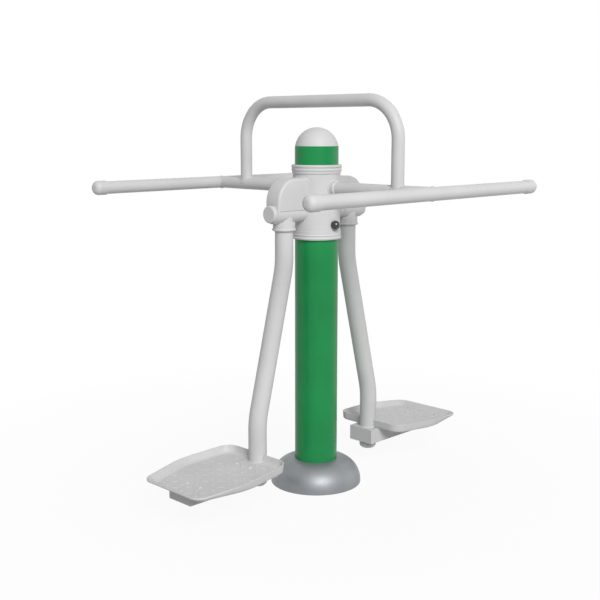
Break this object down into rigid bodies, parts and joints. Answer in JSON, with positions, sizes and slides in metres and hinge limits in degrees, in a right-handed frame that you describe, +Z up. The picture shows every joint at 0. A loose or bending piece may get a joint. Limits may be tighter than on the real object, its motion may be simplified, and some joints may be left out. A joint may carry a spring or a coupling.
{
  "type": "outdoor surfboard trainer",
  "caption": "Outdoor swing trainer: a green post with hand bars and a hoop over them, and bent legs with foot plates that swing sideways from bearings at its head.",
  "frame": {"origin": "centre of the post's flange on the ground", "axes": "+Z up along the post, +X along the swing line toward the right leg, +Y toward the rear hand bar"},
  "size_m": [1.242, 0.9794, 1.2728],
  "materials": {
    "grey_coat": "satin powder coat, light grey",
    "green_coat": "satin powder coat, mid green",
    "silver_enamel": "glossy metallic enamel, silver grey",
    "dark_chrome": "polished black chrome",
    "zinc_steel": "zinc plated",
    "machined_steel": "turned and oiled",
    "bearing_steel": "ground and polished",
    "rubber": "matt black"
  },
  "bodies": {
    "frame": {"base_flange": "zinc_steel", "post_gussets": "zinc_steel", "base_cover": "silver_enamel", "post_tube": "green_coat", "head_barrel": "grey_coat", "lower_collar": "grey_coat", "upper_collar": "grey_coat", "dome_cap": "grey_coat", "clamp_bolt": "dark_chrome", "clamp_nut": "dark_chrome", "front_crossbar": "grey_coat", "rear_crossbar": "grey_coat", "front_socket": "grey_coat", "rear_socket": "grey_coat", "front_grip": "grey_coat", "rear_grip": "grey_coat", "front_grip_caps": "grey_coat", "rear_grip_caps": "grey_coat", "hoop": "grey_coat", "right_limit_box": "grey_coat", "right_stop_pads": "rubber", "right_axle": "grey_coat", "right_inner_races": "bearing_steel", "right_spacer": "machined_steel", "right_washer": "zinc_steel", "right_axle_nut": "zinc_steel", "left_limit_box": "grey_coat", "left_stop_pads": "rubber", "left_axle": "grey_coat", "left_inner_races": "bearing_steel", "left_spacer": "machined_steel", "left_washer": "zinc_steel", "left_axle_nut": "zinc_steel"},
    "left_swing": {"left_outer_races": "bearing_steel", "left_ball_cages": "bearing_steel", "left_hub": "grey_coat", "left_hub_cap": "grey_coat", "left_leg_collar": "grey_coat", "left_leg": "grey_coat", "left_foot_plug": "grey_coat", "left_support": "grey_coat", "left_support_plugs": "grey_coat", "left_foot_plate": "grey_coat", "left_plate_screws": "grey_coat"},
    "right_swing": {"right_outer_races": "bearing_steel", "right_ball_cages": "bearing_steel", "right_hub": "grey_coat", "right_hub_cap": "grey_coat", "right_leg_collar": "grey_coat", "right_leg": "grey_coat", "right_foot_plug": "grey_coat", "right_support": "grey_coat", "right_support_plugs": "grey_coat", "right_foot_plate": "grey_coat", "right_plate_screws": "grey_coat"}
  },
  "joints": [
    {"name": "right_swing", "type": "hinge", "parent": "frame", "child": "right_swing", "pos_m": [0.147, 0, 0.907], "axis": [1, 0, 0], "range_deg": [-35, 35]},
    {"name": "left_swing", "type": "hinge", "parent": "frame", "child": "left_swing", "pos_m": [-0.147, 0, 0.907], "axis": [1, 0, 0], "range_deg": [-35, 35]}
  ]
}
